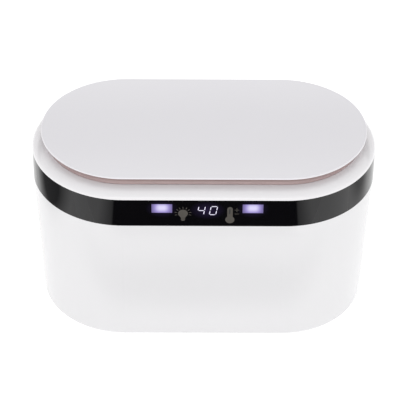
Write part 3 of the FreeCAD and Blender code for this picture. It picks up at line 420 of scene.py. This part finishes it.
def close_up():
    """Gives the drawn face its thickness, seams closed and faces outwards."""
    bpy.ops.mesh.select_mode(type="FACE")
    bpy.ops.mesh.select_all(action="SELECT")
    pull((0, 0, PRINT_DEEP + PRINT_PROUD))
    bpy.ops.mesh.select_all(action="SELECT")
    bpy.ops.mesh.remove_doubles(threshold=1e-4)
    bpy.ops.mesh.normals_make_consistent(inside=False)
    bpy.ops.object.mode_set(mode="OBJECT")


def only(*pieces):
    bpy.ops.object.select_all(action="DESELECT")
    for piece in pieces:
        piece.select_set(True)
    bpy.context.view_layer.objects.active = pieces[0]


def joined(name, pieces):
    only(*pieces)
    bpy.ops.object.join()
    pieces[0].name = name
    return pieces[0]


def finished(piece, finish, body):
    piece.data.materials.clear()
    piece.data.materials.append(finish)
    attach(piece, body)


# ---- marks on the band, drawn flat in millimetres from the middle of its top edge ------------

PRINT_DEEP = 0.2
PRINT_PROUD = 0.05
DIGIT_SLANT = 0.18
DIGIT_HALF = Vector((2.45, 3.95))
DIGIT_STROKE = 0.6
DIGIT_BARS = {
    "top": ((-1, 1), (1, 1)),
    "upper_left": ((-1, 1), (-1, 0)),
    "upper_right": ((1, 1), (1, 0)),
    "middle": ((-1, 0), (1, 0)),
    "lower_left": ((-1, 0), (-1, -1)),
    "lower_right": ((1, 0), (1, -1)),
    "bottom": ((-1, -1), (1, -1)),
}
FOUR = ["upper_left", "middle", "upper_right", "lower_right"]
ZERO = ["top", "upper_left", "upper_right", "lower_left", "lower_right", "bottom"]


def model_stroke():
    """A bar one long and one wide with pointed ends."""
    bpy.ops.object.select_all(action="DESELECT")
    bpy.ops.mesh.primitive_plane_add(size=1)
    piece = begin("stroke")
    squeeze((0.8, 1, 1), (0, 0, 0))
    for side in (-1, 1):
        pick("EDGE", lambda edge: middle(edge).x * side > 0.39)
        pull((side * 0.1, 0, 0))
        squeeze((1, 0.3, 1), (side * 0.5, 0, 0))
    close_up()
    return piece


def lay_stroke(start, end, width):
    """A copy of the bar from one point to another."""
    run = Vector(end) - Vector(start)
    piece = STROKE.copy()
    piece.data = STROKE.data.copy()
    scene.collection.objects.link(piece)
    turn = Matrix.Rotation(math.atan2(run.y, run.x), 4, "Z")
    size = Matrix.Diagonal((run.length, width, 1, 1))
    mid = (Vector(start) + Vector(end)) / 2
    piece.data.transform(Matrix.Translation((mid.x, mid.y, 0)) @ turn @ size)
    return piece


def digit_bars(centre, bars):
    laid = []
    for bar in bars:
        ends = []
        for x, y in DIGIT_BARS[bar]:
            ends.append(Vector((centre[0] + x * DIGIT_HALF.x + y * DIGIT_HALF.y * DIGIT_SLANT,
                                centre[1] + y * DIGIT_HALF.y)))
        gap = (ends[1] - ends[0]).normalized() * 0.42
        laid.append(lay_stroke(ends[0] + gap, ends[1] - gap, DIGIT_STROKE))
    return laid


def model_bulb(centre, radius):
    """Glass of the lamp mark: a round disc drawn down into a neck."""
    bpy.ops.object.select_all(action="DESELECT")
    bpy.ops.mesh.primitive_circle_add(vertices=40, radius=radius, fill_type="NGON", location=(*centre, 0))
    piece = begin_in_place("bulb_glass")
    bpy.ops.mesh.select_all(action="SELECT")
    cut = centre[1] - 0.74 * radius
    bpy.ops.mesh.bisect(plane_co=(centre[0], cut, 0), plane_no=(0, 1, 0), clear_inner=True)
    pick("EDGE", lambda edge: abs(middle(edge).y - cut) < 0.01)
    pull((0, -0.4 * radius, 0))
    squeeze((0.66, 1, 1), (*centre, 0))
    close_up()
    return piece


def lamp_mark(centre, radius):
    """A lit bulb with nine rays and a threaded cap."""
    parts = [model_bulb(centre, radius)]
    for turn in (-105, -80, -52, -28, 0, 28, 52, 80, 105):
        way = Vector((math.sin(math.radians(turn)), math.cos(math.radians(turn))))
        ray = [Vector(centre) + way * radius * reach for reach in (1.2, 1.75)]
        parts.append(lay_stroke(*ray, 0.42))
    for drop, half in ((1.3, 1.75), (1.56, 1.7), (1.82, 1.2)):
        level = centre[1] - drop * radius
        parts.append(lay_stroke((centre[0] - half, level), (centre[0] + half, level), 0.8))
    return joined("lamp_mark", parts)


def model_thermometer(centre, radius, half_stem, top):
    """Bulb and round-ended stem of the temperature mark."""
    bpy.ops.object.select_all(action="DESELECT")
    bpy.ops.mesh.primitive_circle_add(vertices=40, radius=radius, fill_type="NGON", location=(*centre, 0))
    piece = begin_in_place("thermometer_body")
    bpy.ops.mesh.select_all(action="SELECT")
    level = centre[1] + math.sqrt(radius ** 2 - half_stem ** 2)
    bpy.ops.mesh.bisect(plane_co=(centre[0], level, 0), plane_no=(0, 1, 0), clear_outer=True)
    shoulder = top - half_stem
    steps = [(shoulder, 1.0)]
    for turn in (25, 50, 70, 85):
        steps.append((shoulder + half_stem * math.sin(math.radians(turn)), math.cos(math.radians(turn))))
    width = 1.0
    for height, share in steps:
        pick("EDGE", lambda edge: all(abs(vert.co.y - level) < 0.005 for vert in edge.verts))
        pull((0, height - level, 0))
        squeeze((share / width, 1, 1), (centre[0], height, 0))
        level, width = height, share
    close_up()
    return piece


def heat_mark(centre, radius, half_stem, top):
    """Thermometer with a plus and a minus beside it."""
    parts = [model_thermometer(centre, radius, half_stem, top)]
    x, y = centre[0] + 5.25, top - 2.9
    parts.append(lay_stroke((x - 1.9, y), (x + 1.9, y), 0.36))
    parts.append(lay_stroke((x, y - 2.1), (x, y + 2.1), 0.36))
    parts.append(lay_stroke((x - 1.7, y - 3.8), (x + 1.7, y - 3.8), 0.4))
    return joined("heat_mark", parts)


def on_band(piece):
    """Stands a drawn mark up against the band, its face forward."""
    flat = Matrix.Scale(MM, 4) @ Matrix.Translation((0, 0, -PRINT_DEEP))
    upright = Matrix.Rotation(math.radians(90), 4, "X")
    piece.data.transform(Matrix.Translation(BAND_FACE) @ upright @ flat)


STROKE = model_stroke()
digits = joined("display_digits", digit_bars((-4.7, -9.8), FOUR) + digit_bars((4.6, -9.8), ZERO))
lamp = lamp_mark((-18.6, -12.7), 3.7)
heat = heat_mark((17.25, -18.6), 3.5, 2.1, -6.3)
slot_line = joined("heat_mark_slot", [lay_stroke((17.1, -8.2), (17.1, -13.2), 0.9)])
slot_line.data.transform(Matrix.Translation((0, 0, 0.02)))
bpy.data.objects.remove(STROKE)
for mark, finish, slot in ((digits, DIGIT_GLOW, "window_glow"), (lamp, PRINT, "black_gloss"),
                           (heat, PRINT, "black_gloss"), (slot_line, BLACK_SATIN, "black_gloss")):
    on_band(mark)
    finished(mark, finish, "base")


# ---- screws and lamps, modelled once in metres and copied onto the places the frame gives ------

def solid_boxes(node_name):
    """Lowest and highest corners of each separate solid in a node."""
    whole = nodes[node_name].copy()
    whole.data = nodes[node_name].data.copy()
    scene.collection.objects.link(whole)
    only(whole)
    bpy.ops.object.mode_set(mode="EDIT")
    bpy.ops.mesh.select_all(action="SELECT")
    bpy.ops.mesh.remove_doubles(threshold=1e-6)
    bpy.ops.mesh.separate(type="LOOSE")
    bpy.ops.object.mode_set(mode="OBJECT")
    boxes = []
    for piece in list(bpy.context.selected_objects):
        corners = [vert.co for vert in piece.data.vertices]
        boxes.append((Vector([min(c[axis] for c in corners) for axis in range(3)]),
                      Vector([max(c[axis] for c in corners) for axis in range(3)])))
        bpy.data.objects.remove(piece)
    return sorted(boxes, key=lambda box: (round(box[0].x, 5), box[0].y))


def model_screw(head_radius, head_height, shank_radius, length):
    """Pan head looking down with a cross recess, and a threaded shank above it."""
    bpy.ops.object.select_all(action="DESELECT")
    bpy.ops.mesh.primitive_cylinder_add(vertices=24, radius=head_radius, depth=head_height,
                                        location=(0, 0, head_height / 2))
    piece = begin_in_place("pan_screw")
    pick("EDGE", lambda edge: max(vert.co.z for vert in edge.verts) < 1e-6)
    bpy.ops.mesh.bevel(offset=head_height * 0.5, segments=3, affect="EDGES")
    pick("FACE", lambda face: middle(face).z > head_height - 1e-6)
    bpy.ops.mesh.inset(thickness=head_radius - shank_radius)
    turns = 6
    pitch = (length - head_height) / turns
    for turn in range(turns):
        pull((0, 0, pitch * 0.5))
        squeeze((0.86, 0.86, 1), (0, 0, 0))
        pull((0, 0, pitch * 0.5))
        squeeze((1 / 0.86, 1 / 0.86, 1), (0, 0, 0))
    bpy.ops.object.mode_set(mode="OBJECT")
    for turn in (0, 90):
        bpy.ops.mesh.primitive_cube_add(size=1, location=(0, 0, 0), rotation=(0, 0, math.radians(turn)))
        blade = begin("driver_blade")
        squeeze((head_radius * 1.15, head_radius * 0.26, head_height * 1.1), (0, 0, 0))
        pick("FACE", lambda face: middle(face).z > head_height * 0.5)
        squeeze((0.55, 0.8, 1), (0, 0, 0))
        bpy.ops.object.mode_set(mode="OBJECT")
        bpy.ops.object.transform_apply(location=True, rotation=True, scale=True)
        only(piece)
        cut = piece.modifiers.new("recess", "BOOLEAN")
        cut.operation = "DIFFERENCE"
        cut.solver = "EXACT"
        cut.object = blade
        bpy.ops.object.modifier_apply(modifier=cut.name)
        bpy.data.objects.remove(blade)
    bpy.ops.object.shade_smooth_by_angle(angle=math.radians(35))
    return piece


def copies_at(name, model, places):
    """Copies of a model at places, joined under one name."""
    laid = []
    for place in places:
        piece = model.copy()
        piece.data = model.data.copy()
        scene.collection.objects.link(piece)
        piece.data.transform(Matrix.Translation(place))
        laid.append(piece)
    bpy.data.objects.remove(model)
    return joined(name, laid)


def foot_of(box):
    return Vector((*centre_of(box).xy, box[0].z))


def fit_screws(node_name, body, head_share, shank_share):
    boxes = solid_boxes(node_name)
    size = boxes[0][1] - boxes[0][0]
    radius = size.x / 2
    model = model_screw(radius, radius * head_share, radius * shank_share, size.z)
    screws = copies_at(f"{node_name}_cross_head", model, [foot_of(box) for box in boxes])
    finished(screws, ZINC, body)
    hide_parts(node_name)


def model_lamp_base(size):
    """Square ceramic carrier with clipped corners and a shallow well for the lens."""
    bpy.ops.object.select_all(action="DESELECT")
    bpy.ops.mesh.primitive_cube_add(size=1, location=(0, 0, 0.5))
    piece = begin_in_place("lamp_carrier")
    bpy.ops.mesh.select_all(action="SELECT")
    squeeze(size, (0, 0, 0))
    pick("EDGE", lambda edge: abs(edge.verts[0].co.z - edge.verts[1].co.z) > size.z * 0.5)
    bpy.ops.mesh.bevel(offset=size.x * 0.1, segments=1, affect="EDGES")
    pick("FACE", lambda face: middle(face).z < 1e-6)
    bpy.ops.mesh.inset(thickness=size.x * 0.12)
    pull((0, 0, size.z * 0.2))
    bpy.ops.object.mode_set(mode="OBJECT")
    return piece


def model_lens(radius, drop):
    """Low clear dome that hangs from the carrier."""
    bpy.ops.object.select_all(action="DESELECT")
    bpy.ops.mesh.primitive_uv_sphere_add(segments=20, ring_count=12, radius=radius)
    piece = begin("lamp_lens")
    bpy.ops.mesh.bisect(plane_co=(0, 0, radius * 0.25), plane_no=(0, 0, 1), clear_outer=True, use_fill=True)
    bpy.ops.mesh.select_all(action="SELECT")
    squeeze((1, 1, drop / radius), (0, 0, 0))
    bpy.ops.object.mode_set(mode="OBJECT")
    bpy.ops.object.shade_smooth_by_angle(angle=math.radians(40))
    return piece


def fit_lamps():
    boxes = solid_boxes("uv_leds")
    size = boxes[0][1] - boxes[0][0]
    places = [foot_of(box) for box in boxes]
    carriers = copies_at("uv_lamp_carriers", model_lamp_base(size), places)
    finished(carriers, INNER_WHITE, "lid")
    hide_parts("uv_leds")
    lenses = copies_at("uv_lamp_lenses", model_lens(size.x * 0.34, size.z * 0.35),
                       [place + Vector((0, 0, size.z * 0.15)) for place in places])
    finished(lenses, UV_GLOW, "lid")


fit_screws("lid_screws", "lid", 0.6, 0.5)
fit_screws("base_screws", "base", 0.58, 0.48)
fit_lamps()


# ---- studio ----------------------------------------------------------------------------------

# As bright as the floor and the world look in a reflection, so the edges of the cards don't show.
FLOOR_GLOW = 1.1
WORLD_GLOW = 0.85
CAMERA_PITCH = 38.85


def make_floor():
    bpy.ops.object.select_all(action="DESELECT")
    bpy.ops.mesh.primitive_plane_add(size=8, location=(0, 0, 0))
    floor = bpy.context.object
    floor.name = "floor"
    finish, tree, shader = new_finish("white_sweep")
    shader.inputs["Base Color"].default_value = (0.5, 0.5, 0.5, 1)
    shader.inputs["Roughness"].default_value = 0.9
    shader.inputs["Emission Color"].default_value = (1, 1, 1, 1)
    shader.inputs["Emission Strength"].default_value = 0.72
    floor.data.materials.append(finish)


def reflected_card(name, place, facing, size):
    """A card that only shows in reflections."""
    bpy.ops.object.select_all(action="DESELECT")
    bpy.ops.mesh.primitive_plane_add(size=1, location=place, rotation=facing)
    card = bpy.context.object
    card.name = name
    card.scale = (*size, 1)
    finish, tree, shader = new_finish(f"{name}_cloth")
    shader.inputs["Emission Strength"].default_value = 1.0
    shader.inputs["Base Color"].default_value = (0, 0, 0, 1)
    shader.inputs["Specular IOR Level"].default_value = 0.0
    card.data.materials.append(finish)
    card.visible_camera = False
    card.visible_diffuse = False
    card.visible_shadow = False
    card.visible_transmission = False
    return tree, shader


def graded_card(name, place, facing, size, near, far):
    """One that is darkest in the middle and fades into what lies round it."""
    tree, shader = reflected_card(name, place, facing, size)
    wash = halo(tree, (0, 0, 0), (0.5, 0.5, 0.5))
    shade = tint(tree, wash, "Fac", (far,) * 3, (near,) * 3, 0.0, 0.6)
    wire(tree, shade, "Color", shader, "Emission Color")


def make_front_card():
    """Black where the flat of the band mirrors it, with a step and a fade for its round ends."""
    width, off_centre = 0.9, 0.006
    edge, step_end, fade_end = 0.115, 0.1185, 0.175
    tree, shader = reflected_card("front_card", (0, -0.24, 0.002), (0, 0, 0), (width, 0.11))
    coords = mapped(tree, (width, 1, 1), (off_centre, 0, 0))
    away = unsigned(tree, axes_of(tree, coords), "X")
    shade = tint(tree, away, 0, (0, 0, 0), (FLOOR_GLOW,) * 3, edge, fade_end)
    step = shade.color_ramp.elements.new(step_end)
    step.color = (0.4, 0.4, 0.4, 1)
    wire(tree, shade, "Color", shader, "Emission Color")


def make_cards():
    make_front_card()
    flat = (0, 0, 0)
    graded_card("left_side_card", (-0.285, 0.0, 0.003), flat, (0.12, 0.26), 0.15, FLOOR_GLOW)
    graded_card("right_side_card", (0.30, 0.03, 0.003), flat, (0.12, 0.16), 0.5, FLOOR_GLOW)
    graded_card("low_front_card", (0, -0.128, 0.003), flat, (0.4, 0.08), 0.1, FLOOR_GLOW)
    towards_lid = (math.radians(90 + CAMERA_PITCH), 0, 0)
    graded_card("rear_card", (0, 0.202, 0.313), towards_lid, (1.6, 0.088), 0.0, WORLD_GLOW)


def make_light(name, place, aim, size, power):
    light = bpy.data.lights.new(name, "AREA")
    light.shape = "RECTANGLE"
    light.size, light.size_y = size
    light.energy = power
    item = bpy.data.objects.new(name, light)
    scene.collection.objects.link(item)
    item.location = place
    item.rotation_euler = (Vector(aim) - Vector(place)).to_track_quat("-Z", "Y").to_euler()


def make_camera():
    """Looks down on the front from a long way off, with a long lens."""
    target = Vector((0, 0, 0.0695))
    distance, pitch = 1.62, math.radians(CAMERA_PITCH)
    turn, roll = math.radians(-0.67), math.radians(0.65)
    away = Vector((math.sin(turn) * math.cos(pitch), -math.cos(turn) * math.cos(pitch), math.sin(pitch)))
    data = bpy.data.cameras.new("camera")
    data.lens = 179.9
    data.sensor_width = 36
    data.shift_x = -0.0077
    data.shift_y = 0.0402
    data.clip_end = 20
    camera = bpy.data.objects.new("camera", data)
    scene.collection.objects.link(camera)
    camera.location = target + distance * away
    facing = (-away).to_track_quat("-Z", "Y").to_matrix().to_4x4()
    camera.rotation_euler = (facing @ Matrix.Rotation(roll, 4, "Z")).to_euler()
    scene.camera = camera


def make_world():
    world = bpy.data.worlds.new("studio")
    scene.world = world
    world.use_nodes = True
    background = world.node_tree.nodes["Background"]
    background.inputs["Color"].default_value = (1, 1, 1, 1)
    background.inputs["Strength"].default_value = WORLD_GLOW


make_floor()
make_cards()
make_light("top_softbox", (0, 0.2, 1.6), (0, 0, 0.1), (1.6, 1.2), 1)
make_light("front_softbox", (0, -1.6, 0.7), (0, 0, 0.1), (1.4, 0.5), 2)
make_camera()
make_world()
scene.view_settings.view_transform = "Standard"
